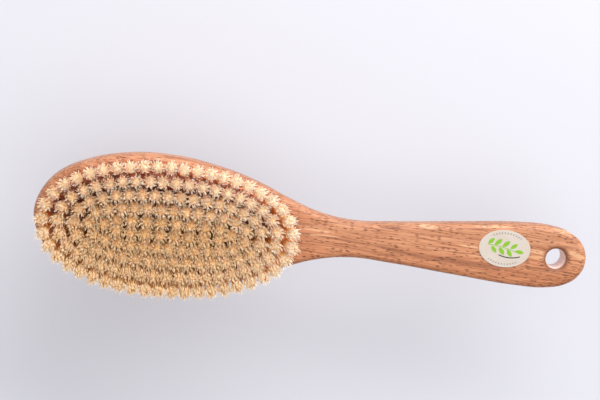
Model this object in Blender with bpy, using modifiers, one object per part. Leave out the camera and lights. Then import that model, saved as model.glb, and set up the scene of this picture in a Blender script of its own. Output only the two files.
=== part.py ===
"""Body dry brush: a one-piece beech paddle with five oval rings of bristle tufts and an oval label.

The brush lies on its flat back. X runs from the head to the handle's end, Y across the brush,
Z up through the bristles. The origin is under the middle of the brush's length, on the floor.
"""

import math

import bmesh
import bpy
from mathutils import Matrix, Vector

MM = 0.001

# Paddle of solid wood
LENGTH = 260 * MM
THICKNESS = 12 * MM
EDGE_RADIUS = 3 * MM
EDGE_SEGMENTS = 3
OUTLINE_STEPS = 3
# Distance from the tip of the head, and half the width there
HEAD_SIDE = ((1.3, 6.5), (4.6, 12.9), (10, 18.8), (21.9, 25.3), (39.6, 30), (59.3, 31), (80, 28.3))
NECK_SIDE = ((100.9, 22.5), (116.8, 15.8), (130.8, 10.9), (146.8, 8.4), (166.8, 9.4))
HANDLE_SIDE = ((199, 12.4), (227.3, 14.7), (242.5, 14.5), (252.2, 11.9), (258, 6.8))

# Hanging hole through the handle's end
HOLE_FROM_HEAD = 244.9 * MM
HOLE_RADIUS = 4.6 * MM
HOLE_LIP = 2.2 * MM
HOLE_SIDES = 24
LIP_STEPS = 3

# Oval rings of tufts
RING_COUNT = 5
RING_CENTRE = 60.5 * MM
RING_HALF_LENGTH = 54.2 * MM
RING_HALF_WIDTH = 24.6 * MM
RING_STEP_LENGTH = 6.4 * MM
RING_STEP_WIDTH = 5.5 * MM
RING_TAPER = 0.02
OUTER_EXPONENT = 2.05
SQUARER_INWARDS = 0.09
TUFTS_IN_RING = (45, 39, 33, 27, 18)
TUFTS_IN_GROUP = 3
RING_SAMPLES = 1440

# One tuft and the blind hole that holds it
BRISTLE_HEIGHT = 18 * MM
END_LEAN = 3 * MM
SIDE_LEAN = 4.4 * MM
TUFT_SIDES = 8
TUFT_ROOT_RADIUS = 1.4 * MM
TUFT_TIP_RADIUS = 2.45 * MM
TUFT_TIP_SPACING = 4.8 * MM
DRILL_SIDES = 6
DRILL_RADIUS = 1.9 * MM
DRILL_DEPTH = 7 * MM
GAP = 0.3 * MM

# Oval paper label on the handle
LABEL_FROM_HEAD = 219.4 * MM
LABEL_OFFSET = 2.8 * MM
LABEL_LENGTH = 25 * MM
LABEL_WIDTH = 17.8 * MM
LABEL_THICKNESS = 0.4 * MM
LABEL_TILT = math.radians(-2.5)
LABEL_SIDES = 48
LABEL_GAP = 0.1 * MM

CUT_MARGIN = 2 * MM
WELD_DISTANCE = 0.01 * MM
FACE_TOP = THICKNESS


def clear_scene():
    """Empty the scene and return the collections for the brush and for its cutters."""
    for obj in list(bpy.data.objects):
        bpy.data.objects.remove(obj, do_unlink=True)
    brush = bpy.data.collections.new("body_dry_brush")
    cutters = bpy.data.collections.new("cutters")
    bpy.context.scene.collection.children.link(brush)
    bpy.context.scene.collection.children.link(cutters)
    return brush, cutters


def make_material(name, colour, roughness):
    """A plain Principled material."""
    material = bpy.data.materials.new(name)
    material.use_nodes = True
    shader = material.node_tree.nodes["Principled BSDF"]
    shader.inputs["Base Color"].default_value = (*colour, 1)
    shader.inputs["Roughness"].default_value = roughness
    shader.inputs["Metallic"].default_value = 0
    return material


def add_object(name, mesh, collection, material=None, smooth_angle=35):
    """Link a new object and shade it smooth up to an angle."""
    obj = bpy.data.objects.new(name, mesh)
    collection.objects.link(obj)
    if material:
        mesh.materials.append(material)
    mesh.shade_smooth()
    mesh.set_sharp_from_angle(angle=math.radians(smooth_angle))
    return obj


def add_cutter(name, mesh, collection):
    """Link a guide shape that is only used by Booleans."""
    cutter = add_object(name, mesh, collection)
    cutter.display_type = "WIRE"
    cutter.hide_render = True
    return cutter


def add_boolean(obj, cutter, operation):
    """Cut or join one shape with another."""
    boolean = obj.modifiers.new(operation.lower() + "_" + cutter.name, "BOOLEAN")
    boolean.operation = operation
    boolean.solver = "EXACT"
    boolean.object = cutter


def solid_from(obj):
    """The evaluated shape of an object as a welded mesh; the object itself is removed."""
    evaluated = obj.evaluated_get(bpy.context.evaluated_depsgraph_get())
    mesh = bpy.data.meshes.new_from_object(evaluated)
    mesh.transform(obj.matrix_world)
    bpy.data.objects.remove(obj, do_unlink=True)
    solid = bmesh.new()
    solid.from_mesh(mesh)
    bmesh.ops.remove_doubles(solid, verts=solid.verts, dist=WELD_DISTANCE)
    bmesh.ops.dissolve_limit(solid, angle_limit=math.radians(0.5), verts=solid.verts, edges=solid.edges)
    bmesh.ops.recalc_face_normals(solid, faces=solid.faces)
    solid.to_mesh(mesh)
    solid.free()
    return mesh


def from_head(distance):
    """World X of a place measured from the tip of the head."""
    return distance - LENGTH / 2


def turned_mesh(profile, sides, collection):
    """A solid turned about Z from (radius, height) points that run from the top to the bottom."""
    mesh = bpy.data.meshes.new("turned")
    edges = [(i, i + 1) for i in range(len(profile) - 1)]
    mesh.from_pydata([(radius, 0, height) for radius, height in profile], edges, [])
    obj = bpy.data.objects.new("turned", mesh)
    collection.objects.link(obj)
    screw = obj.modifiers.new("turn", "SCREW")
    screw.steps = sides
    screw.render_steps = sides
    screw.use_merge_vertices = True
    screw.merge_threshold = WELD_DISTANCE
    bpy.context.view_layer.update()
    return solid_from(obj)


def outline_points():
    """Points of the paddle's outline, anticlockwise from the tip of the head."""
    side = [(x * MM, y * MM) for x, y in HEAD_SIDE + NECK_SIDE + HANDLE_SIDE]
    lower = [(x, -y) for x, y in side]
    return [(0, 0)] + lower + [(LENGTH, 0)] + side[::-1]


def paddle_mesh(collection):
    """The flat paddle, before its edges are rounded."""
    curve = bpy.data.curves.new("outline", "CURVE")
    curve.dimensions = "2D"
    curve.fill_mode = "BOTH"
    curve.extrude = THICKNESS / 2
    curve.resolution_u = OUTLINE_STEPS
    points = outline_points()
    spline = curve.splines.new("BEZIER")
    spline.bezier_points.add(len(points) - 1)
    spline.use_cyclic_u = True
    for knot, (x, y) in zip(spline.bezier_points, points):
        knot.co = (from_head(x), y, 0)
        knot.handle_left_type = "AUTO"
        knot.handle_right_type = "AUTO"
    obj = bpy.data.objects.new("outline", curve)
    obj.location.z = THICKNESS / 2
    collection.objects.link(obj)
    bpy.context.view_layer.update()
    return solid_from(obj)


def hanging_hole_mesh(collection):
    """Cutter for the hanging hole: a bore that flares at both faces, so that its lips are round."""
    half = THICKNESS / 2
    quarter = [math.pi / 2 * step / LIP_STEPS for step in range(LIP_STEPS + 1)]
    flare = [
        (HOLE_RADIUS + HOLE_LIP * (1 - math.cos(a)), half - HOLE_LIP * (1 - math.sin(a)))
        for a in reversed(quarter)
    ]
    upper = [(0, half + CUT_MARGIN), (HOLE_RADIUS + HOLE_LIP, half + CUT_MARGIN)] + flare
    lower = [(radius, -height) for radius, height in reversed(upper)]
    mesh = turned_mesh(upper + lower, HOLE_SIDES, collection)
    mesh.transform(Matrix.Translation((from_head(HOLE_FROM_HEAD), 0, half)))
    return mesh


def ring_shape(ring):
    """Dense points and outward normals along one oval ring on the face."""
    half_length = RING_HALF_LENGTH - ring * RING_STEP_LENGTH
    half_width = RING_HALF_WIDTH - ring * RING_STEP_WIDTH
    power = 2 / (OUTER_EXPONENT + SQUARER_INWARDS * ring**2)
    points = []
    for i in range(RING_SAMPLES):
        angle = 2 * math.pi * i / RING_SAMPLES
        along = -math.copysign(abs(math.cos(angle)) ** power, math.cos(angle))
        across = math.copysign(abs(math.sin(angle)) ** power, math.sin(angle))
        x = from_head(RING_CENTRE) + half_length * along
        y = half_width * across * (1 - RING_TAPER * along)
        points.append(Vector((x, y, FACE_TOP)))
    normals = []
    for i in range(RING_SAMPLES):
        tangent = points[(i + 1) % RING_SAMPLES] - points[i - 1]
        normals.append(Vector((-tangent.y, tangent.x, 0)).normalized())
    return points, normals


def ring_tufts(ring):
    """Root and tip centres of a ring's tufts, evenly spaced halfway up the bristles."""
    points, normals = ring_shape(ring)
    share = (1 - ring / RING_COUNT) ** 2
    leans = [Vector((normal.x * END_LEAN, normal.y * SIDE_LEAN, 0)) * share for normal in normals]
    middle = [point + lean / 2 for point, lean in zip(points, leans)]
    travelled = [0.0]
    for i in range(RING_SAMPLES):
        step = middle[(i + 1) % RING_SAMPLES] - middle[i]
        travelled.append(travelled[-1] + step.length)
    count = TUFTS_IN_RING[ring]
    tufts = []
    sample = 0
    for tuft in range(count):
        target = travelled[-1] * tuft / count
        while travelled[sample] < target:
            sample += 1
        root = points[sample]
        tip = root + leans[sample] + Vector((0, 0, BRISTLE_HEIGHT))
        tufts.append((root, tip))
    return tufts


def tuft_pose(root, tip):
    """Matrix that stands a shape on its root, pointing at its tip, flats facing along the ring."""
    upward = (tip - root).normalized()
    outward = Vector((tip.x - root.x, tip.y - root.y, 0)).normalized()
    sideways = upward.cross(outward).normalized()
    outward = sideways.cross(upward)
    turn = Matrix((outward, sideways, upward)).transposed().to_4x4()
    return Matrix.Translation(root) @ turn


def tuft_mesh(collection):
    """One tuft about Z: straight inside its hole, spreading from the face to the tip."""
    profile = [
        (0, BRISTLE_HEIGHT),
        (TUFT_TIP_RADIUS, BRISTLE_HEIGHT),
        (TUFT_ROOT_RADIUS, 0),
        (TUFT_ROOT_RADIUS, GAP - DRILL_DEPTH),
        (0, GAP - DRILL_DEPTH),
    ]
    corner = 1 / math.cos(math.pi / TUFT_SIDES)
    mesh = turned_mesh([(radius * corner, height) for radius, height in profile], TUFT_SIDES, collection)
    mesh.transform(Matrix.Rotation(math.pi / TUFT_SIDES, 4, "Z"))
    return mesh


def joined(name, copies):
    """One mesh holding several placed copies, which are used up."""
    gathered = bmesh.new()
    for copy in copies:
        gathered.from_mesh(copy)
        bpy.data.meshes.remove(copy)
    mesh = bpy.data.meshes.new(name)
    gathered.to_mesh(mesh)
    gathered.free()
    return mesh


def placed(mesh, matrix):
    """A moved copy of a mesh."""
    copy = mesh.copy()
    copy.transform(matrix)
    return copy


def drill_mesh():
    """Cutters for all the blind tuft holes, each drilled along its own tuft."""
    length = DRILL_DEPTH + CUT_MARGIN
    drill = bmesh.new()
    bmesh.ops.create_cone(
        drill,
        cap_ends=True,
        segments=DRILL_SIDES,
        radius1=DRILL_RADIUS,
        radius2=DRILL_RADIUS,
        depth=length,
        matrix=Matrix.Translation((0, 0, length / 2 - DRILL_DEPTH)),
    )
    mesh = bpy.data.meshes.new("drill")
    drill.to_mesh(mesh)
    drill.free()
    tufts = [tuft for ring in range(RING_COUNT) for tuft in ring_tufts(ring)]
    return joined("drills", [placed(mesh, tuft_pose(root, tip)) for root, tip in tufts])


def brush_body(brush, cutters, material):
    """Paddle with rounded edges, the hanging hole and the blind tuft holes."""
    body = add_object("brush_body", paddle_mesh(cutters), brush, material)
    bevel = body.modifiers.new("rounded_edges", "BEVEL")
    bevel.width = EDGE_RADIUS
    bevel.segments = EDGE_SEGMENTS
    bevel.limit_method = "ANGLE"
    bevel.angle_limit = math.radians(60)
    bevel.use_clamp_overlap = False
    add_boolean(body, add_cutter("hanging_hole", hanging_hole_mesh(cutters), cutters), "DIFFERENCE")
    add_boolean(body, add_cutter("tuft_holes", drill_mesh(), cutters), "DIFFERENCE")


def bent_copies(shape, group):
    """A group's tufts: the outer ones bend above the face until their tips meet the middle one's."""
    centre = len(group) // 2
    middle_tip = group[centre][1]
    copies = []
    for i, (root, tip) in enumerate(group):
        copy = placed(shape, tuft_pose(root, tip))
        reach = tip - middle_tip
        pull = reach.normalized() * TUFT_TIP_SPACING * abs(i - centre) - reach
        for vertex in copy.vertices:
            if vertex.co.z > FACE_TOP + BRISTLE_HEIGHT / 2:
                vertex.co += pull
        copies.append(copy)
    return copies


def tuft_groups(brush, cutters, material):
    """Three neighbouring tufts of a ring make one node, joined where their tips meet."""
    shape = tuft_mesh(cutters)
    for ring in range(RING_COUNT):
        tufts = ring_tufts(ring)
        tufts = tufts[-1:] + tufts[:-1]
        for start in range(0, len(tufts), TUFTS_IN_GROUP):
            first, middle, last = bent_copies(shape, tufts[start:start + TUFTS_IN_GROUP])
            name = f"tufts_ring{ring + 1}_{start // TUFTS_IN_GROUP + 1:02d}"
            node = add_object(name, joined(name, [middle]), brush, material)
            sides = add_cutter(name + "_sides", joined(name + "_sides", [first, last]), cutters)
            add_boolean(node, sides, "UNION")


def label(brush, material):
    """Thin oval label on the front of the handle."""
    oval = bmesh.new()
    bmesh.ops.create_cone(
        oval,
        cap_ends=True,
        segments=LABEL_SIDES,
        radius1=0.5,
        radius2=0.5,
        depth=1,
        matrix=Matrix.Translation((0, 0, 0.5)),
    )
    mesh = bpy.data.meshes.new("label")
    oval.to_mesh(mesh)
    oval.free()
    mesh.transform(Matrix.Diagonal((LABEL_LENGTH, LABEL_WIDTH, LABEL_THICKNESS, 1)))
    obj = add_object("label", mesh, brush, material)
    obj.location = (from_head(LABEL_FROM_HEAD), LABEL_OFFSET, FACE_TOP + LABEL_GAP)
    obj.rotation_euler.z = LABEL_TILT


def main():
    brush, cutters = clear_scene()
    beech = make_material("oiled_beech", (0.60, 0.31, 0.17), 0.45)
    bristle = make_material("natural_bristle", (0.80, 0.62, 0.40), 0.6)
    paper = make_material("label_paper", (0.80, 0.75, 0.66), 0.4)
    brush_body(brush, cutters, beech)
    tuft_groups(brush, cutters, bristle)
    label(brush, paper)


main()
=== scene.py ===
"""Looks of the body dry brush: oiled beech paddle, natural bristle tufts and a paper label."""

import math

import bmesh
import bpy
import numpy as np
from mathutils import Matrix, Vector


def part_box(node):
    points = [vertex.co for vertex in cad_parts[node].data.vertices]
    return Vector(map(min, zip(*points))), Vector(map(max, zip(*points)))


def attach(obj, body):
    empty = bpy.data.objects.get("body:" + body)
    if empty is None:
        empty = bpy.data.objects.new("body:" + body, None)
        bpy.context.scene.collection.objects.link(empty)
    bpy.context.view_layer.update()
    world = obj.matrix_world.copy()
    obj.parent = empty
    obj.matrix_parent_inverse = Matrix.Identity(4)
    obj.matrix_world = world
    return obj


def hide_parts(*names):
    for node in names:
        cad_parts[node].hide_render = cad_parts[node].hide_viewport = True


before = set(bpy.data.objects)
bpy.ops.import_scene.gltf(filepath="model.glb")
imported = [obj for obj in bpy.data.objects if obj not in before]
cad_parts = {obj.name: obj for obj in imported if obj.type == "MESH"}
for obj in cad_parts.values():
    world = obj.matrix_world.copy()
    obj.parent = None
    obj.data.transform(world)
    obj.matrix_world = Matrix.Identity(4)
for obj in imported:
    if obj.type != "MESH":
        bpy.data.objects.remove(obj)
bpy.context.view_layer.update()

MM = 0.001

# Places read from the frame
BODY_LOW, BODY_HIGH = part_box("brush_body")
LABEL_LOW, LABEL_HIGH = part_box("label")
LENGTH = BODY_HIGH.x - BODY_LOW.x
FACE = BODY_HIGH.z

# Camera: its aim from the middle of the brush's back, and its turn away from square to the face
CAMERA_AIM = Vector((-9.3, 16.3, 8.7)) * MM
CAMERA_DISTANCE = 763.2 * MM
CAMERA_YAW = math.radians(-8)
CAMERA_PITCH = math.radians(9.2)
CAMERA_ROLL = math.radians(6.6)
CAMERA_LENS = 99
CAMERA_NEAREST = 10 * MM

# Paddle: one side of its outline in mm, from the tip of the head and from the centre line
HEAD_SIDE = ((1.3, 6.5), (4.6, 12.9), (10, 18.8), (21.9, 25.3), (39.6, 30), (59.3, 31), (80, 28.3))
NECK_SIDE = ((100.9, 22.5), (116.8, 15.8), (130.8, 10.9), (146.8, 8.4), (166.8, 9.4))
HANDLE_SIDE = ((199, 12.4), (227.3, 14.7), (242.5, 14.5), (252.2, 11.9), (258, 6.8))
OUTLINE_STEPS = 12
EDGE_RADIUS = 3 * MM
EDGE_SEGMENTS = 8
EDGE_ANGLE = math.radians(60)
SHARP_ANGLE = math.radians(35)

# Hanging hole
HOLE_FROM_HEAD = 244.9 * MM
HOLE_RADIUS = 4.6 * MM
HOLE_LIP = 2.2 * MM
HOLE_SIDES = 64
LIP_STEPS = 8

# Rings of tufts
RING_CENTRE = 60.5 * MM
RING_HALF_LENGTH = 54.2 * MM
RING_HALF_WIDTH = 24.6 * MM
RING_STEP_LENGTH = 6.4 * MM
RING_STEP_WIDTH = 5.5 * MM
RING_TAPER = 0.02
OUTER_EXPONENT = 2.05
SQUARER_INWARDS = 0.09
TUFTS_IN_RING = (45, 39, 33, 27, 18)
TUFTS_IN_GROUP = 3
RING_SAMPLES = 1440
BRISTLE_HEIGHT = 18 * MM
END_LEAN = 3 * MM
SIDE_LEAN = 4.4 * MM
DRILL_SIDES = 14
DRILL_RADIUS = 1.75 * MM
DRILL_DEPTH = 7 * MM

# Single bristles: stations up them in mm, and the share of their thickness left at some heights
BRISTLE_SEED = 7
BRISTLES_PER_TUFT = 190
BRISTLE_SIDES = 3
BRISTLE_RADIUS = 0.16 * MM
BRISTLE_THICKNESSES = (0.75, 1.2)
BRISTLE_STATIONS = (-4, 0, 4, 8, 12, 15.5, 18)
BRISTLE_TAPER = ((0, 1), (10, 0.95), (15.5, 0.85), (18, 0.5))

# Most that something may be turned at random, in radians: nearly a full turn
ANY_TURN = 6.28

# Spread of a tuft, and the furthest that its tips stand from its middle
ROOT_SPREAD = 1.7 * MM
TIP_SPREAD = 2.45 * MM
TIP_SPREAD_INWARDS = 0.17 * MM
TIP_SCATTER = 0.22 * MM
TIP_SPLAY = 2.0 * MM
TIP_LIMIT = 3.8 * MM
LATE_FLARE = 0.5
BOW = 0.22 * MM

# Clumps of tips: the outer ones go about once round the tuft, and the rest carry on inside them
CLUMPS = 13
OUTER_CLUMPS = 9
CLUMP_TURNS = 1.4
INNER_CLUMP_REACH = 0.45
CLUMP_PULL = (0.15, 0.6)

# Lengths of bristles, and how much shorter the short ones are, in mm
LENGTH_SCATTER = 0.3 * MM
LENGTH_DOME = 0.5 * MM
LENGTH_LIMIT = 18.4 * MM
SHORT_SHARE = 0.12
SHORT_BY = (0.5, 2.5)

# Stray bristles, which stand out sideways and are a little longer
STRAY_SHARE = 0.04
STRAY_SCATTER = 1.0 * MM
STRAY_EXTRA = 0.5 * MM

# The packed middle of a tuft: its height and radius in mm up its length, and how its flutes vary
CORE_PROFILE = (
    (-4, 1.4),
    (0, 1.5),
    (4, 1.75),
    (8, 2.0),
    (12, 2.2),
    (13.6, 2.1),
    (14.8, 1.5),
    (15.7, 0.8),
)
CORE_SIDES = 22
CORE_WIDER_INWARDS = 0.045
CORE_FLUTES = (0.88, 1.06)
CORE_UNEVEN = (0.9, 1.08)
CORE_SCATTER = 0.25 * MM
CORE_POINT = 0.2 * MM

# Tones of the bristles, one for each height band from root to tip, and the shades of each: darker,
# warmer copies of a tone, which carry both tone that differs at random and painted light and shade
BRISTLE_TONES = (
    (0.84, 0.46, 0.15),
    (0.94, 0.565, 0.20),
    (0.99, 0.665, 0.27),
    (0.99, 0.765, 0.41),
    (0.98, 0.87, 0.65),
    (0.965, 0.94, 0.875),
)
BRISTLE_SHADES = 4
SHADE_FILTER = (0.952, 0.858, 0.685)
TIP_SHADE_STRENGTH = 0.8

# A tuft's painted light and shade: its shade in the outer ring, and its change with each ring
# inwards, across and along. The upper right of the outer ring is painted palest, as if lit most,
# and the inner rings and the lower left are painted darker and more golden, as if shaded
PAINTED_OUTER_SHADE = 0.95
PAINTED_SHADE_INWARDS = 0.35
PAINTED_SHADE_ACROSS = -1.25
PAINTED_SHADE_ALONG = -0.35
SHADE_SCATTER = 0.6

# Label: sizes in mm, and height and inset of the steps of its edge
LABEL_LENGTH = 25
LABEL_WIDTH = 17.8
LABEL_TURN = math.radians(-2.5)
LABEL_EDGE = ((0.02, 0), (0.2, 0), (0.27, 0.07), (0.3, 0.2))
LABEL_SIDES = 96

# Mesh work
CUT_MARGIN = 2 * MM
WELD_DISTANCE = 0.005 * MM
FLAT_ANGLE = math.radians(0.2)

# The pale floor is the photograph's distant backdrop, so it is kept clear of the brush; its
# reach is in metres, from its middle to each edge
FLOOR_GAP = 50 * MM
FLOOR_REACH = 4
FLOOR_COLOUR = (0.56, 0.56, 0.60, 1)
FLOOR_ROUGHNESS = 0.8

# Lamps: name, place and size in metres, power in watts, and colour
LAMPS = (
    ("key", (0.45, 1.1, 0.65), (1.6, 0.9), 23.0, (1, 0.985, 0.97)),
    ("overhead", (0.15, 0.35, 1.25), (2.2, 2.2), 15.0, (1, 1, 1)),
)
ROOM_COLOUR = (0.93, 0.93, 0.97, 1)
ROOM_STRENGTH = 0.68
LIGHT_BOUNCES = 20


def from_head(distance):
    """World X of a place measured from the tip of the head."""
    return BODY_LOW.x + distance


def add_object(name, mesh, materials=()):
    """A new object in the scene, with its materials."""
    obj = bpy.data.objects.new(name, mesh)
    bpy.context.scene.collection.objects.link(obj)
    for material in materials:
        mesh.materials.append(material)
    return obj


def solid_from(obj):
    """The evaluated shape of an object as a welded mesh; the object itself is removed."""
    bpy.context.view_layer.update()
    evaluated = obj.evaluated_get(bpy.context.evaluated_depsgraph_get())
    mesh = bpy.data.meshes.new_from_object(evaluated)
    mesh.transform(obj.matrix_world)
    bpy.data.objects.remove(obj, do_unlink=True)
    solid = bmesh.new()
    solid.from_mesh(mesh)
    bmesh.ops.remove_doubles(solid, verts=solid.verts, dist=WELD_DISTANCE)
    bmesh.ops.dissolve_limit(solid, angle_limit=FLAT_ANGLE, verts=solid.verts, edges=solid.edges)
    bmesh.ops.recalc_face_normals(solid, faces=solid.faces)
    solid.to_mesh(mesh)
    solid.free()
    return mesh


# ---------------------------------------------------------------- paddle


def outline_points():
    """Points of the paddle's outline, anticlockwise from the tip of the head."""
    side = [(x * MM, y * MM) for x, y in HEAD_SIDE + NECK_SIDE + HANDLE_SIDE]
    lower = [(x, -y) for x, y in side]
    return [(0, 0)] + lower + [(LENGTH, 0)] + side[::-1]


def paddle_blank():
    """The flat paddle, before its edges are rounded."""
    curve = bpy.data.curves.new("outline", "CURVE")
    curve.dimensions = "2D"
    curve.fill_mode = "BOTH"
    curve.extrude = FACE / 2
    curve.resolution_u = OUTLINE_STEPS
    points = outline_points()
    spline = curve.splines.new("BEZIER")
    spline.bezier_points.add(len(points) - 1)
    spline.use_cyclic_u = True
    for knot, (x, y) in zip(spline.bezier_points, points):
        knot.co = (from_head(x), y, 0)
        knot.handle_left_type = "AUTO"
        knot.handle_right_type = "AUTO"
    obj = add_object("outline", curve)
    obj.location.z = FACE / 2
    return solid_from(obj)


def hanging_hole_cutter():
    """A bore that flares at both faces, so that its lips are round."""
    half = FACE / 2
    quarter = [math.pi / 2 * step / LIP_STEPS for step in range(LIP_STEPS + 1)]
    flare = [
        (HOLE_RADIUS + HOLE_LIP * (1 - math.cos(a)), half - HOLE_LIP * (1 - math.sin(a)))
        for a in reversed(quarter)
    ]
    upper = [(0, half + CUT_MARGIN), (HOLE_RADIUS + HOLE_LIP, half + CUT_MARGIN)] + flare
    profile = upper + [(radius, -height) for radius, height in reversed(upper)]
    mesh = bpy.data.meshes.new("hanging_hole")
    edges = [(i, i + 1) for i in range(len(profile) - 1)]
    mesh.from_pydata([(radius, 0, height) for radius, height in profile], edges, [])
    obj = add_object("hanging_hole", mesh)
    screw = obj.modifiers.new("turn", "SCREW")
    screw.steps = HOLE_SIDES
    screw.render_steps = HOLE_SIDES
    screw.use_merge_vertices = True
    screw.merge_threshold = WELD_DISTANCE
    obj.location = (from_head(HOLE_FROM_HEAD), 0, half)
    return solid_from(obj)


def drill_cutters():
    """All the blind tuft holes, each drilled along its own tuft."""
    length = DRILL_DEPTH + CUT_MARGIN
    drills = bmesh.new()
    for ring in range(len(TUFTS_IN_RING)):
        for root, tip in ring_tufts(ring):
            bmesh.ops.create_cone(
                drills,
                cap_ends=True,
                segments=DRILL_SIDES,
                radius1=DRILL_RADIUS,
                radius2=DRILL_RADIUS,
                depth=length,
                matrix=tuft_pose(root, tip) @ Matrix.Translation((0, 0, length / 2 - DRILL_DEPTH)),
            )
    mesh = bpy.data.meshes.new("drills")
    drills.to_mesh(mesh)
    drills.free()
    return mesh


def make_paddle(material):
    """The wooden paddle, with finely rounded edges, in place of the CAD body."""
    blank = add_object("blank", paddle_blank())
    bevel = blank.modifiers.new("rounded_edges", "BEVEL")
    bevel.width = EDGE_RADIUS
    bevel.segments = EDGE_SEGMENTS
    bevel.limit_method = "ANGLE"
    bevel.angle_limit = EDGE_ANGLE
    bevel.use_clamp_overlap = False
    cutters = [add_object("hole", hanging_hole_cutter()), add_object("drills", drill_cutters())]
    for cutter in cutters:
        boolean = blank.modifiers.new(cutter.name, "BOOLEAN")
        boolean.operation = "DIFFERENCE"
        boolean.solver = "EXACT"
        boolean.object = cutter
    mesh = solid_from(blank)
    for cutter in cutters:
        bpy.data.objects.remove(cutter, do_unlink=True)
    mesh.materials.clear()
    paddle = add_object("beech_paddle", mesh, [material])
    mesh.shade_smooth()
    mesh.set_sharp_from_angle(angle=SHARP_ANGLE)
    normals = paddle.modifiers.new("flat_faces", "WEIGHTED_NORMAL")
    normals.keep_sharp = True
    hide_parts("brush_body")
    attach(paddle, "root")


# ---------------------------------------------------------------- tufts


def ring_shape(ring):
    """Dense points and outward normals along one oval ring on the face."""
    half_length = RING_HALF_LENGTH - ring * RING_STEP_LENGTH
    half_width = RING_HALF_WIDTH - ring * RING_STEP_WIDTH
    power = 2 / (OUTER_EXPONENT + SQUARER_INWARDS * ring**2)
    angle = np.arange(RING_SAMPLES) * 2 * math.pi / RING_SAMPLES
    along = -np.copysign(np.abs(np.cos(angle)) ** power, np.cos(angle))
    across = np.copysign(np.abs(np.sin(angle)) ** power, np.sin(angle))
    x = from_head(RING_CENTRE) + half_length * along
    y = half_width * across * (1 - RING_TAPER * along)
    points = np.stack([x, y, np.full(RING_SAMPLES, FACE)], 1)
    tangent = np.roll(points, -1, 0) - np.roll(points, 1, 0)
    normals = np.stack([-tangent[:, 1], tangent[:, 0], np.zeros(RING_SAMPLES)], 1)
    return points, normals / np.linalg.norm(normals, axis=1)[:, None]


def ring_tufts(ring):
    """Root and tip centres of a ring's tufts, evenly spaced halfway up the bristles."""
    points, normals = ring_shape(ring)
    lean = normals * [END_LEAN, SIDE_LEAN, 0] * (1 - ring / len(TUFTS_IN_RING)) ** 2
    middle = points + lean / 2
    steps = np.linalg.norm(np.roll(middle, -1, 0) - middle, axis=1)
    travelled = np.concatenate([[0], np.cumsum(steps)])
    count = TUFTS_IN_RING[ring]
    samples = np.searchsorted(travelled, travelled[-1] * np.arange(count) / count)
    tips = points + lean + [0, 0, BRISTLE_HEIGHT]
    return [(Vector(points[i]), Vector(tips[i])) for i in samples]


def tuft_pose(root, tip):
    """Matrix that stands a shape on its root, pointing at its tip."""
    upward = (tip - root).normalized()
    outward = Vector((tip.x - root.x, tip.y - root.y, 0)).normalized()
    sideways = upward.cross(outward).normalized()
    outward = sideways.cross(upward)
    turn = Matrix((outward, sideways, upward)).transposed().to_4x4()
    return Matrix.Translation(root) @ turn


def clump_centres(rng, spread):
    """Places of the clumps of tips: most in a ring, and a few nearer the middle."""
    clump = np.arange(CLUMPS)
    angle = clump * 2 * math.pi / CLUMPS * CLUMP_TURNS + rng.uniform(0, ANY_TURN)
    reach = np.where(clump < OUTER_CLUMPS, 1.0, INNER_CLUMP_REACH) * spread
    return np.stack([np.cos(angle), np.sin(angle)], 1) * reach[:, None]


def bristle_lines(rng, spread):
    """Centre lines of one tuft's bristles about Z: an array of bristle, station, xyz."""
    count = BRISTLES_PER_TUFT

    # places that fill a disc evenly, on a spiral of golden angles
    index = np.arange(count) + 0.5
    turn = index * math.pi * (3 - math.sqrt(5)) + rng.uniform(0, 2 * math.pi)
    out = np.sqrt(index / count)
    away = np.stack([np.cos(turn), np.sin(turn)], 1)

    # where the tips would stand, then drawn towards a few clumps
    tip = away * out[:, None] * spread + rng.normal(0, TIP_SCATTER, (count, 2))
    centres = clump_centres(rng, spread)
    nearest = np.argmin(np.linalg.norm(tip[:, None] - centres[None], axis=2), axis=1)
    tip += (centres[nearest] - tip) * rng.uniform(*CLUMP_PULL, (count, 1))

    # the outer bristles splay, and a few are stray
    tip += away * (out[:, None] ** 3) * rng.uniform(0, 1, (count, 1)) ** 2 * TIP_SPLAY
    stray = rng.random(count) < STRAY_SHARE
    tip[stray] += rng.normal(0, STRAY_SCATTER, (stray.sum(), 2))
    tip *= np.minimum(1, TIP_LIMIT / np.linalg.norm(tip, axis=1))[:, None]

    # the top of the tuft is a little domed, and some bristles are short
    length = BRISTLE_HEIGHT + rng.normal(0, LENGTH_SCATTER, count) - out**2 * LENGTH_DOME
    short = rng.random(count) < SHORT_SHARE
    length[short] -= rng.uniform(*SHORT_BY, short.sum()) * MM
    length[stray] += STRAY_EXTRA
    length = np.minimum(length, LENGTH_LIMIT)

    # each bristle bows a little, and flares most near its tip
    root = away * out[:, None] * ROOT_SPREAD
    bow = rng.normal(0, BOW, (count, 2))
    stations = np.array(BRISTLE_STATIONS) * MM
    share = np.clip(stations / BRISTLE_HEIGHT, 0, 1)
    flare = (1 - LATE_FLARE) * share + LATE_FLARE * share**3
    lines = np.empty((count, len(stations), 3))
    lines[:, :, :2] = (
        root[:, None]
        + (tip - root)[:, None] * flare[None, :, None]
        + bow[:, None] * np.sin(math.pi * share)[None, :, None]
    )
    lines[:, :, 2] = np.where(stations > 0, stations * (length[:, None] / BRISTLE_HEIGHT), stations)
    return lines


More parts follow.
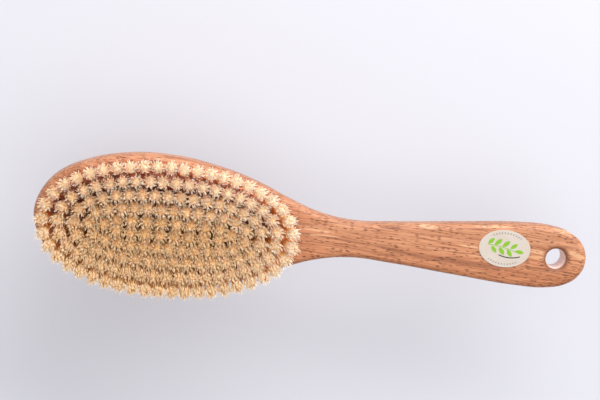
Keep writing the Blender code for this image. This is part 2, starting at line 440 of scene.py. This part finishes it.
def bristle_tubes(lines, rng):
    """Vertices, quads and end triangles of thin tapered tubes round the centre lines."""
    count, stations, _ = lines.shape
    sides = BRISTLE_SIDES
    taper = np.interp(BRISTLE_STATIONS, *zip(*BRISTLE_TAPER))
    radius = BRISTLE_RADIUS * rng.uniform(*BRISTLE_THICKNESSES, count)[:, None] * taper[None]
    angle = np.arange(sides) * 2 * math.pi / sides + rng.uniform(0, ANY_TURN, (count, 1))
    circle = np.stack([np.cos(angle), np.sin(angle), np.zeros_like(angle)], 2)
    vertices = lines[:, :, None] + circle[:, None] * radius[:, :, None, None]
    first = np.arange(count)[:, None, None] * stations * sides
    row = first + np.arange(stations - 1)[None, :, None] * sides
    low = row + np.arange(sides)
    following = row + (np.arange(sides) + 1) % sides
    quads = np.stack([low, following, following + sides, low + sides], 3).reshape(-1, 4)
    start = first[:, 0, 0]
    last = start + (stations - 1) * sides
    ends = np.concatenate([
        np.stack([start + 2, start + 1, start], 1),
        np.stack([last, last + 1, last + 2], 1),
    ])
    return vertices.reshape(-1, 3), quads, ends


def painted_tuft_shade(ring, root):
    """Painted light and shade: how golden a tuft is by its place. The outer ring is painted palest,
    above all at its upper right, as if lit most.
    """
    along = (root.x - from_head(RING_CENTRE)) / RING_HALF_LENGTH
    across = root.y / RING_HALF_WIDTH
    return PAINTED_OUTER_SHADE + PAINTED_SHADE_INWARDS * ring + PAINTED_SHADE_ACROSS * across + PAINTED_SHADE_ALONG * along


def pick_shades(rng, middle, count):
    """Shades for some bristles, scattered about a middle one."""
    shades = np.round(rng.normal(middle, SHADE_SCATTER, count))
    return np.clip(shades, 0, BRISTLE_SHADES - 1).astype(int)


def tuft_bristles(rng, ring, painted_middle_shade):
    """One tuft's bristles: vertices, quads, end triangles, and the tones of both."""
    lines = bristle_lines(rng, TIP_SPREAD + ring * TIP_SPREAD_INWARDS)
    vertices, quads, ends = bristle_tubes(lines, rng)
    shade = pick_shades(rng, painted_middle_shade, len(lines))
    bands = len(BRISTLE_STATIONS) - 1
    band = np.tile(np.repeat(np.arange(bands), BRISTLE_SIDES), (len(lines), 1))
    tones = (band * BRISTLE_SHADES + shade[:, None]).reshape(-1)
    end_tones = np.concatenate([shade, (bands - 1) * BRISTLE_SHADES + shade])
    return vertices, quads, ends, tones, end_tones


def tuft_core(rng, ring, painted_middle_shade):
    """A fluted closed body for a tuft's packed middle, in the same form as its bristles."""
    sides = CORE_SIDES
    rows = len(CORE_PROFILE)
    heights, radii = np.array(CORE_PROFILE).T * MM
    radii = radii * (1 + CORE_WIDER_INWARDS * ring)
    flute = rng.uniform(*CORE_FLUTES, sides) * rng.uniform(*CORE_UNEVEN, (rows, sides))
    angle = np.arange(sides) * 2 * math.pi / sides
    radius = radii[:, None] * flute
    skin = np.stack([
        radius * np.cos(angle),
        radius * np.sin(angle),
        heights[:, None] + rng.normal(0, CORE_SCATTER, (rows, sides)),
    ], 2)
    poles = [[0, 0, heights[0]], [0, 0, heights[-1] + CORE_POINT]]
    vertices = np.concatenate([skin.reshape(-1, 3), poles])
    side = np.arange(sides)
    following = (side + 1) % sides
    row = np.arange(rows - 1)[:, None] * sides
    quads = np.stack([row + side, row + following, row + following + sides, row + side + sides], 2)
    top = (rows - 1) * sides
    ends = np.concatenate([
        np.stack([following, side, np.full(sides, rows * sides)], 1),
        np.stack([top + side, top + following, np.full(sides, rows * sides + 1)], 1),
    ])

    # each flute has one shade, and the palest band is left to the bristles' tips
    top_band = len(BRISTLE_TONES) - 2
    band = np.minimum(np.arange(rows - 1), top_band)[:, None]
    shade = pick_shades(rng, painted_middle_shade, sides)
    tones = (band * BRISTLE_SHADES + shade).reshape(-1)
    end_tones = np.concatenate([shade, top_band * BRISTLE_SHADES + shade])
    return vertices, quads.reshape(-1, 4), ends, tones, end_tones


def mesh_from_arrays(name, vertices, quads, triangles, tones):
    """A flat-shaded mesh of quads, then triangles, with a material number for each."""
    mesh = bpy.data.meshes.new(name)
    mesh.vertices.add(len(vertices))
    mesh.vertices.foreach_set("co", vertices.reshape(-1).astype(np.float32))
    mesh.loops.add(quads.size + triangles.size)
    corners = np.concatenate([quads.reshape(-1), triangles.reshape(-1)])
    mesh.loops.foreach_set("vertex_index", corners)
    mesh.polygons.add(len(quads) + len(triangles))
    starts = np.concatenate([
        np.arange(len(quads)) * 4,
        quads.size + np.arange(len(triangles)) * 3,
    ])
    mesh.polygons.foreach_set("loop_start", starts)
    mesh.polygons.foreach_set("material_index", tones)
    mesh.update(calc_edges=True)
    mesh.shade_flat()
    return mesh


def tuft_group_mesh(name, group, ring, rng):
    """One mesh of a few neighbouring tufts, each a packed middle and its bristles."""
    vertices, quads, ends, tones, end_tones = [], [], [], [], []
    offset = 0
    for root, tip in group:
        pose = np.array(tuft_pose(root, tip))
        # painted light and shade: the tuft is paler or darker by its place on the head
        painted_middle_shade = painted_tuft_shade(ring, root)
        for make in (tuft_bristles, tuft_core):
            points, some_quads, some_ends, some_tones, some_end_tones = make(rng, ring, painted_middle_shade)
            vertices.append(points @ pose[:3, :3].T + pose[:3, 3])
            quads.append(some_quads + offset)
            ends.append(some_ends + offset)
            tones.append(some_tones)
            end_tones.append(some_end_tones)
            offset += len(points)
    return mesh_from_arrays(
        name,
        np.concatenate(vertices),
        np.concatenate(quads),
        np.concatenate(ends),
        np.concatenate(tones + end_tones),
    )


def make_tufts(materials):
    """Every group of three tufts, in place of its CAD node."""
    rng = np.random.default_rng(BRISTLE_SEED)
    for ring in range(len(TUFTS_IN_RING)):
        # as in the CAD, the tuft nearest the tip of the head is in the middle of the first group
        tufts = ring_tufts(ring)
        tufts = tufts[-1:] + tufts[:-1]
        for start in range(0, len(tufts), TUFTS_IN_GROUP):
            number = f"ring{ring + 1}_{start // TUFTS_IN_GROUP + 1:02d}"
            group = tufts[start:start + TUFTS_IN_GROUP]
            mesh = tuft_group_mesh("bristles_" + number, group, ring, rng)
            piece = add_object("bristles_" + number, mesh, materials)
            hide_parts("tufts_" + number)
            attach(piece, "root")


# ---------------------------------------------------------------- materials


class Nodes:
    """Small helper that adds shader nodes to a material and links them."""

    def __init__(self, name):
        self.material = bpy.data.materials.new(name)
        self.material.use_nodes = True
        self.tree = self.material.node_tree
        self.shader = self.tree.nodes["Principled BSDF"]

    def add(self, kind, inputs=None, **settings):
        """A node; its inputs are values, colours or other nodes' sockets."""
        node = self.tree.nodes.new("ShaderNode" + kind)
        for key, value in settings.items():
            setattr(node, key, value)
        for key, value in (inputs or {}).items():
            self.set(node, key, value)
        return node

    def set(self, node, key, value):
        """Link a socket, or set its value."""
        if isinstance(value, bpy.types.NodeSocket):
            self.tree.links.new(value, node.inputs[key])
        else:
            node.inputs[key].default_value = value

    def math(self, operation, *values):
        """The result of a Math node."""
        return self.add("Math", dict(enumerate(values)), operation=operation).outputs[0]

    def scaled(self, vector, sizes, shift=(0, 0, 0)):
        """Coordinates in units of the wanted feature sizes, which are in millimetres."""
        inputs = {"Vector": vector, "Scale": [1 / (size * MM) for size in sizes], "Location": shift}
        return self.add("Mapping", inputs).outputs[0]

    def squares(self, first, second):
        """The sum of two squares."""
        return self.math("ADD", self.math("POWER", first, 2.0), self.math("POWER", second, 2.0))

    def turned(self, x, y, x_centre, y_centre, degrees):
        """Two coordinates about a centre, along axes turned by some degrees."""
        cosine = math.cos(math.radians(degrees))
        sine = math.sin(math.radians(degrees))
        u = self.math("SUBTRACT", x, x_centre)
        v = self.math("SUBTRACT", y, y_centre)
        p = self.math("ADD", self.math("MULTIPLY", u, cosine), self.math("MULTIPLY", v, sine))
        q = self.math("SUBTRACT", self.math("MULTIPLY", v, cosine), self.math("MULTIPLY", u, sine))
        return p, q

    def noise(self, vector, detail, roughness=0.5):
        """Noise from 0 to 1."""
        inputs = {"Vector": vector, "Scale": 1.0, "Detail": detail, "Roughness": roughness}
        return self.add("TexNoise", inputs).outputs["Fac"]

    def swing(self, noise, size):
        """Noise from 0 to 1 as a swing about 0, of some size."""
        return self.math("MULTIPLY", self.math("SUBTRACT", noise, 0.5), size)

    def between(self, value, low, high, to_low=0.0, to_high=1.0):
        """A value mapped smoothly from one range to another."""
        inputs = {0: value, 1: low, 2: high, 3: to_low, 4: to_high}
        return self.add("MapRange", inputs, interpolation_type="SMOOTHSTEP").outputs[0]

    def mix(self, share, first, second, blend="MIX"):
        """Two colours mixed."""
        node = self.add("Mix", data_type="RGBA", blend_type=blend)
        for socket, value in zip((0, 6, 7), (share, first, second)):
            self.set(node, socket, value)
        return node.outputs[2]


# Where most values of a noise lie
NOISE_RANGE = (0.3, 0.7)

# Grain: its turn from the paddle's length, how far it sways, and the size of a sway in mm
GRAIN_TURN = math.radians(3.5)
GRAIN_SWAY = 4 * MM
SWAY_SIZE = (60, 12, 12)

# Layers of grain, one over another. For each: size in mm along, across and through; shift, detail
# and roughness of the noise; where in the noise it starts and is full; how much it covers; colour
WOOD_GROUND = (0.34, 0.122, 0.047, 1)
GRAIN_LAYERS = {
    "broad": ((60, 11, 12), (4, 2, 7), 1, 0.5, 0.3, 0.7, 1, (0.475, 0.198, 0.094, 1)),
    "bands": ((80, 3.2, 4), (0, 0, 0), 3, 0.6, 0.38, 0.66, 0.65, (0.57, 0.265, 0.138, 1)),
    "streaks": ((22, 0.7, 1), (3, 7, 1), 3, 0.6, 0.45, 0.64, 0.85, (0.19, 0.052, 0.016, 1)),
    "fibres": ((8, 0.45, 0.5), (5, 2, 9), 3, 0.7, 0.35, 0.72, 0.5, (0.60, 0.285, 0.145, 1)),
    "pale": ((16, 0.9, 1.4), (11, 4, 3), 2, 0.5, 0.63, 0.76, 0.4, (0.72, 0.42, 0.22, 1)),
}

# Marks in the grain: distance from the head, place across, half length and half width in mm,
# and turn in degrees
DARK_MARKS = (
    (139, 0.3, 19, 0.55, -5),
    (173, -3.6, 19, 0.8, -9),
    (201, -5.6, 20, 1.5, -4),
    (239, -5.3, 12, 0.6, -2),
    (254, -6.3, 9, 0.5, -6),
    (164, 7.6, 6, 0.7, 0),
)
PALE_MARKS = (
    (128, 3.7, 9.5, 0.75, -5),
    (132, 1.2, 10, 0.45, 1),
    (181.7, 9.6, 5, 1.0, 2),
    (202.5, 2.2, 6, 0.6, -3),
    (236, 2.6, 5, 1.0, -9),
    (254.5, 2.6, 5.5, 1.5, -19),
    (212, 12.6, 9, 0.5, 4),
    (247, 13.2, 5, 0.6, -9),
)
MARK_FADE = (0.2, 1.3)
MARK_FRAY = 2.4
DARK_MARK_SHARE = 0.6
DARK_MARK_COLOUR = (0.16, 0.045, 0.016, 1)
PALE_MARK_SHARE = 0.48
PALE_MARK_COLOUR = (0.78, 0.48, 0.27, 1)

# Painted shade: the lower side of the paddle is painted a darker, deeper orange, as if less lit
SHADED_BELOW = -17 * MM
UNSHADED_ABOVE = 9 * MM
PAINTED_LOWER_SHADE = (0.97, 0.84, 0.70, 1)

# Short dark flecks: size in mm of a fleck's cell and of the patches where more of them are, and
# which of the cells have one: a cell's chance, from 0 to 1, plus what its patch adds
FLECK_SIZE = (3.2, 0.62, 0.8)
FLECK_EDGE = (0.2, 0.42)
PATCH_SIZE = (30, 8, 12)
PATCH_ADDS = (-0.2, 0.25)
FLECK_CHANCE = (0.28, 0.5)
FLECK_SHARE = 0.92
FLECK_COLOUR = (0.09, 0.024, 0.010, 1)

# Round the hanging hole: how far a darker ring reaches over its lip and how ragged the ring's edge
# is; and the bore, painted pale all round as painted light on its wall
DARK_RING_FULL = HOLE_RADIUS + 0.6 * MM
DARK_RING_GONE = HOLE_RADIUS + 2.6 * MM
DARK_RING_RAGGED = 7 * MM
DARK_RING_SHARE = 0.75
DARK_RING_COLOUR = (0.15, 0.045, 0.015, 1)
LIT_BORE_FULL = HOLE_RADIUS + 0.05 * MM
LIT_BORE_GONE = HOLE_RADIUS + 0.5 * MM
LIT_BORE_SHARE = 0.85
LIT_BORE_COLOUR = (0.85, 0.66, 0.60, 1)

# Finish of the wood
WOOD_ROUGHNESS = (0.42, 0.56)
FLECK_ROUGHER = 0.15
WOOD_FINISH = {"Coat Weight": 0.12, "Coat Roughness": 0.2, "Specular IOR Level": 0.35}
FIBRE_HEIGHT = 0.5
WOOD_BUMP = {"Strength": 0.3, "Distance": 0.08 * MM}


def grain_space(n, place):
    """Coordinates that follow the grain, which is turned a little and sways."""
    turned = n.add("VectorRotate", {"Vector": place, "Angle": GRAIN_TURN}, rotation_type="Z_AXIS")
    turned = turned.outputs[0]
    sway = n.swing(n.noise(n.scaled(turned, SWAY_SIZE), detail=1), GRAIN_SWAY)
    sideways = n.add("CombineXYZ", {1: sway}).outputs[0]
    return n.add("VectorMath", {0: turned, 1: sideways}).outputs[0]


def grain_mark(n, x, y, fray, mark):
    """A long soft spot with frayed ends: 1 in its middle, 0 outside."""
    from_tip, from_middle, half_length, half_width, turn = mark
    p, q = n.turned(x, y, from_head(from_tip * MM), from_middle * MM, turn)
    p = n.math("MULTIPLY", p, 1 / (half_length * MM))
    q = n.math("MULTIPLY", q, 1 / (half_width * MM))
    return n.between(n.math("ADD", n.squares(p, q), fray), *MARK_FADE, 1, 0)


def marked(n, colour, x, y, fray, marks, share, mark_colour):
    """A colour with some marks of another colour over it."""
    most = 0.0
    for mark in marks:
        most = n.math("MAXIMUM", most, grain_mark(n, x, y, fray, mark))
    return n.mix(n.math("MULTIPLY", most, share), colour, mark_colour)


def flecks(n, grain):
    """Short flecks, each a cell of its own and more of them in some patches: 1 inside one."""
    cell = n.add("TexVoronoi", {"Vector": n.scaled(grain, FLECK_SIZE), "Scale": 1.0})
    chance = n.add("SeparateColor", {0: cell.outputs["Color"]}).outputs[0]
    near = n.between(cell.outputs["Distance"], *FLECK_EDGE, 1, 0)
    patch = n.noise(n.scaled(grain, PATCH_SIZE, (1, 12, 5)), detail=1)
    added = n.between(patch, *NOISE_RANGE, *PATCH_ADDS)
    chosen = n.between(n.math("ADD", chance, added), *FLECK_CHANCE)
    return n.math("MULTIPLY", near, chosen)


def dark_ring_and_lit_bore(n, colour, x, y, streaks):
    """A colour with a ragged darker ring round the hanging hole, and the bore's wall painted pale as
    painted light.
    """
    along = n.math("SUBTRACT", x, from_head(HOLE_FROM_HEAD))
    radius = n.math("POWER", n.squares(along, y), 0.5)
    distance = n.math("ADD", radius, n.swing(streaks, DARK_RING_RAGGED))
    colour = n.mix(n.between(distance, DARK_RING_FULL, DARK_RING_GONE, DARK_RING_SHARE, 0), colour, DARK_RING_COLOUR)
    return n.mix(n.between(radius, LIT_BORE_FULL, LIT_BORE_GONE, LIT_BORE_SHARE, 0), colour, LIT_BORE_COLOUR)


def beech_material():
    """Oiled beech: layers of grain, the marks of this piece of wood, painted shade on the lower side,
    flecks, a darker ring round the hole and painted light on its bore.
    """
    n = Nodes("oiled_beech")
    place = n.add("TexCoord").outputs["Object"]
    x, y, _ = n.add("SeparateXYZ", {0: place}).outputs
    grain = grain_space(n, place)
    noises = {}
    colour = WOOD_GROUND
    for name, (size, shift, detail, roughness, start, full, share, layer) in GRAIN_LAYERS.items():
        noises[name] = n.noise(n.scaled(grain, size, shift), detail, roughness)
        colour = n.mix(n.between(noises[name], start, full, 0, share), colour, layer)

    fray = n.swing(noises["streaks"], MARK_FRAY)
    colour = marked(n, colour, x, y, fray, DARK_MARKS, DARK_MARK_SHARE, DARK_MARK_COLOUR)
    colour = marked(n, colour, x, y, fray, PALE_MARKS, PALE_MARK_SHARE, PALE_MARK_COLOUR)
    # painted shade: the lower side is darkened towards a deeper orange
    lower = n.between(y, SHADED_BELOW, UNSHADED_ABOVE, 1, 0)
    colour = n.mix(lower, colour, PAINTED_LOWER_SHADE, blend="MULTIPLY")
    fleck = flecks(n, grain)
    colour = n.mix(n.math("MULTIPLY", fleck, FLECK_SHARE), colour, FLECK_COLOUR)
    # a darker ring round the hole, and painted light on the bore's wall
    n.set(n.shader, "Base Color", dark_ring_and_lit_bore(n, colour, x, y, noises["streaks"]))

    rough = n.between(noises["fibres"], *NOISE_RANGE, *WOOD_ROUGHNESS)
    rough = n.math("ADD", rough, n.math("MULTIPLY", fleck, FLECK_ROUGHER))
    n.set(n.shader, "Roughness", rough)
    for key, value in WOOD_FINISH.items():
        n.set(n.shader, key, value)
    height = n.math("SUBTRACT", n.math("MULTIPLY", noises["fibres"], FIBRE_HEIGHT), fleck)
    n.set(n.shader, "Normal", n.add("Bump", {"Height": height, **WOOD_BUMP}).outputs[0])
    return n.material


# Bristles are matt, and their roughness varies from one to another
BRISTLE_ROUGHNESS = (0.45, 0.7)
BRISTLE_FINISH = {"Specular IOR Level": 0.0, "Diffuse Roughness": 1.0}


def bristle_materials():
    """Bristles are golden at the root and pale at the tip: a tone for each height, and for each shade a
    darker, warmer copy, which carries random tone and painted light and shade.
    """
    materials = []
    for level, tone in enumerate(BRISTLE_TONES):
        strength = TIP_SHADE_STRENGTH if level == len(BRISTLE_TONES) - 1 else 1
        for shade in range(BRISTLE_SHADES):
            n = Nodes(f"bristle_{level + 1}_{shade + 1}")
            depth = shade * strength
            colour = [part * kept**depth for part, kept in zip(tone, SHADE_FILTER)]
            n.set(n.shader, "Base Color", (*colour, 1))
            hair = n.add("NewGeometry").outputs["Random Per Island"]
            n.set(n.shader, "Roughness", n.between(hair, 0, 1, *BRISTLE_ROUGHNESS))
            for key, value in BRISTLE_FINISH.items():
                n.set(n.shader, key, value)
            materials.append(n.material)
    return materials


# Paper, with its tooth and its worn patches: their size in mm, and how much they cover
PAPER_COLOUR = (0.50, 0.43, 0.36, 1)
TOOTH_SIZE = (0.4, 0.4, 0.4)
TOOTH_SHARE = 0.5
TOOTH_COLOUR = (0.45, 0.385, 0.32, 1)
WORN_SIZE = (9, 6, 6)
WORN_RANGE = (0.35, 0.7)
WORN_SHARE = 0.5
WORN_COLOUR = (0.53, 0.47, 0.42, 1)
PAPER_ROUGHNESS = (0.38, 0.48)
PAPER_BUMP = {"Strength": 0.15, "Distance": 0.03 * MM}

# Printed lines, in mm: where they start and end, their rise, slope and bend, and half width
STEM = (-8.2, 6.0, 0.6, -0.16, -0.012, 0.2)
CURL = (-2.5, 8.0, -4.0, 0.03, 0.035, 0.27)
LINE_BLUR = 0.07
LINE_END_BLUR = 0.1

# Leaves of the printed sprig: place of the middle, half length and half width in mm,
# and turn in degrees
LEAVES = (
    (-7.0, 2.9, 2.1, 0.95, 48),
    (-5.2, -0.9, 2.1, 0.95, -46),
    (-3.5, 2.8, 2.3, 1.05, 44),
    (-1.4, -1.3, 2.3, 1.05, -48),
    (0.4, 2.3, 2.3, 1.05, 42),
    (2.5, -1.8, 2.2, 1.0, -50),
    (4.3, 1.6, 2.1, 0.95, 38),
    (7.3, -0.7, 2.2, 0.95, -8),
)
LEAF_BLUR = 0.06

# Dots, one at each crest of a wave that goes round the label. Their distances are shares of the
# way from the middle of the label to its rim
DOT_WAVES = 46.0
DOT_WAVE_EDGE = (-0.1, 0.4)
DOT_PLACE = 0.83
DOT_EDGE = (0.035, 0.06)
DOTS_FROM = (0.6, 0.62)

# Inks
DOT_INK_SHARE = 0.6
DOT_INK = (0.10, 0.09, 0.08, 1)
GREEN_INK = (0.17, 0.37, 0.004, 1)
DARK_INK = (0.012, 0.012, 0.014, 1)


def leaf(n, across, up, shape):
    """A printed leaf: 1 inside its pointed outline."""
    x, y, half_length, half_width, turn = shape
    p, q = n.turned(across, up, x, y, turn)
    bulge = n.math("SUBTRACT", 1.0, n.math("POWER", n.math("MULTIPLY", p, 1 / half_length), 2.0))
    edge = n.math("SUBTRACT", n.math("MULTIPLY", bulge, half_width), n.math("ABSOLUTE", q))
    return n.between(edge, -LEAF_BLUR, LEAF_BLUR)


def stroke(n, across, up, shape):
    """A printed curved line between two places across the label."""
    start, end, rise, slope, bend, half_width = shape
    half_length = (end - start) / 2
    middle = n.math("SUBTRACT", across, (start + end) / 2)
    curve = n.math("MULTIPLY", n.math("POWER", middle, 2.0), bend)
    line = n.math("ADD", n.math("ADD", n.math("MULTIPLY", middle, slope), curve), rise)
    away = n.math("ABSOLUTE", n.math("SUBTRACT", up, line))
    near = n.between(away, half_width - LINE_BLUR, half_width + LINE_BLUR, 1, 0)
    ends = n.between(n.math("ABSOLUTE", middle), half_length - LINE_END_BLUR, half_length, 1, 0)
    return n.math("MULTIPLY", near, ends)


def dotted_arcs(n, across, up):
    """Two arcs of small printed dots near the rim of the label, above and below."""
    u = n.math("MULTIPLY", across, 2 / LABEL_LENGTH)
    v = n.math("MULTIPLY", up, 2 / LABEL_WIDTH)
    reach = n.math("POWER", n.squares(u, v), 0.5)
    wave = n.math("SINE", n.math("MULTIPLY", n.math("ARCTAN2", v, u), DOT_WAVES))
    off_line = n.math("ABSOLUTE", n.math("SUBTRACT", reach, DOT_PLACE))
    ring = n.between(off_line, *DOT_EDGE, 1, 0)
    above_or_below = n.between(n.math("ABSOLUTE", v), *DOTS_FROM)
    dots = n.math("MULTIPLY", ring, n.between(wave, *DOT_WAVE_EDGE))
    return n.math("MULTIPLY", dots, above_or_below)


def label_material():
    """Off-white paper, printed with a plain green sprig, a dark curl and two arcs of dots."""
    n = Nodes("label_paper")
    place = n.add("TexCoord").outputs["Object"]
    tooth = n.noise(n.scaled(place, TOOTH_SIZE), detail=3)
    worn = n.noise(n.scaled(place, WORN_SIZE, (2, 5, 1)), detail=2)
    colour = n.mix(n.between(tooth, *NOISE_RANGE, 0, TOOTH_SHARE), PAPER_COLOUR, TOOTH_COLOUR)
    colour = n.mix(n.between(worn, *WORN_RANGE, 0, WORN_SHARE), colour, WORN_COLOUR)

    x, y, _ = n.add("SeparateXYZ", {0: place}).outputs
    across = n.math("MULTIPLY", x, 1 / MM)
    up = n.math("MULTIPLY", y, 1 / MM)
    sprig = stroke(n, across, up, STEM)
    for shape in LEAVES:
        sprig = n.math("MAXIMUM", sprig, leaf(n, across, up, shape))
    dots = n.math("MULTIPLY", dotted_arcs(n, across, up), DOT_INK_SHARE)
    colour = n.mix(dots, colour, DOT_INK)
    colour = n.mix(sprig, colour, GREEN_INK)
    colour = n.mix(stroke(n, across, up, CURL), colour, DARK_INK)
    n.set(n.shader, "Base Color", colour)
    n.set(n.shader, "Roughness", n.between(tooth, *NOISE_RANGE, *PAPER_ROUGHNESS))
    n.set(n.shader, "Normal", n.add("Bump", {"Height": tooth, **PAPER_BUMP}).outputs[0])
    return n.material


# ---------------------------------------------------------------- label


def make_label(material):
    """A thin oval sticker with a soft edge, in place of the CAD label."""
    angle = np.arange(LABEL_SIDES) * 2 * math.pi / LABEL_SIDES
    vertices = []
    for height, inset in LABEL_EDGE:
        half_length = LABEL_LENGTH / 2 - inset
        half_width = LABEL_WIDTH / 2 - inset
        for a in angle:
            vertices.append((half_length * math.cos(a) * MM, half_width * math.sin(a) * MM, height * MM))
    faces = [tuple(reversed(range(LABEL_SIDES)))]
    for row in range(len(LABEL_EDGE) - 1):
        for i in range(LABEL_SIDES):
            low = row * LABEL_SIDES + i
            following = row * LABEL_SIDES + (i + 1) % LABEL_SIDES
            faces.append((low, following, following + LABEL_SIDES, low + LABEL_SIDES))
    faces.append(tuple(range(len(vertices) - LABEL_SIDES, len(vertices))))
    mesh = bpy.data.meshes.new("paper_label")
    mesh.from_pydata(vertices, [], faces)
    label = add_object("paper_label", mesh, [material])
    centre = (LABEL_LOW + LABEL_HIGH) / 2
    label.location = (centre.x, centre.y, FACE)
    label.rotation_euler.z = LABEL_TURN
    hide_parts("label")
    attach(label, "root")


# ---------------------------------------------------------------- stage


def make_floor():
    """A plain pale floor, well behind the brush."""
    mesh = bpy.data.meshes.new("floor")
    shape = bmesh.new()
    bmesh.ops.create_grid(shape, x_segments=1, y_segments=1, size=FLOOR_REACH)
    shape.to_mesh(mesh)
    shape.free()
    n = Nodes("pale_floor")
    n.set(n.shader, "Base Color", FLOOR_COLOUR)
    n.set(n.shader, "Roughness", FLOOR_ROUGHNESS)
    floor = add_object("floor", mesh, [n.material])
    floor.location.z = BODY_LOW.z - FLOOR_GAP


def add_lamp(name, place, size, power, colour):
    """A soft rectangular lamp that points at the middle of the brush."""
    lamp = bpy.data.lights.new(name, "AREA")
    lamp.shape = "RECTANGLE"
    lamp.size, lamp.size_y = size
    lamp.energy = power
    lamp.color = colour
    obj = bpy.data.objects.new(name, lamp)
    obj.location = place
    obj.rotation_euler = (-Vector(place)).to_track_quat("-Z", "Y").to_euler()
    obj.visible_camera = False
    bpy.context.scene.collection.objects.link(obj)


def make_lights():
    """A window-like lamp beyond the brush's far edge, a larger one overhead, and a pale room."""
    for lamp in LAMPS:
        add_lamp(*lamp)
    world = bpy.data.worlds.new("room")
    world.use_nodes = True
    background = world.node_tree.nodes["Background"]
    background.inputs["Color"].default_value = ROOM_COLOUR
    background.inputs["Strength"].default_value = ROOM_STRENGTH
    bpy.context.scene.world = world


def make_camera():
    """The photograph's view, nearly square to the face and a little from the head's end."""
    back = Vector((
        math.sin(CAMERA_YAW) * math.cos(CAMERA_PITCH),
        math.sin(CAMERA_PITCH),
        math.cos(CAMERA_YAW) * math.cos(CAMERA_PITCH),
    ))
    right = Vector((0, 1, 0)).cross(back).normalized()
    up = back.cross(right)
    turn = Matrix((right, up, back)).transposed().to_4x4()
    data = bpy.data.cameras.new("camera")
    data.lens = CAMERA_LENS
    data.clip_start = CAMERA_NEAREST
    camera = bpy.data.objects.new("camera", data)
    place = Matrix.Translation(CAMERA_AIM + back * CAMERA_DISTANCE)
    camera.matrix_world = place @ turn @ Matrix.Rotation(CAMERA_ROLL, 4, "Z")
    bpy.context.scene.collection.objects.link(camera)
    bpy.context.scene.camera = camera


def set_up_rendering():
    """Plain colours, and enough bounces for light to reach down between the bristles."""
    bpy.context.scene.view_settings.view_transform = "Standard"
    bpy.context.scene.cycles.diffuse_bounces = LIGHT_BOUNCES
    bpy.context.scene.cycles.max_bounces = LIGHT_BOUNCES


def main():
    make_camera()
    make_floor()
    make_lights()
    make_paddle(beech_material())
    make_tufts(bristle_materials())
    make_label(label_material())
    set_up_rendering()


main()
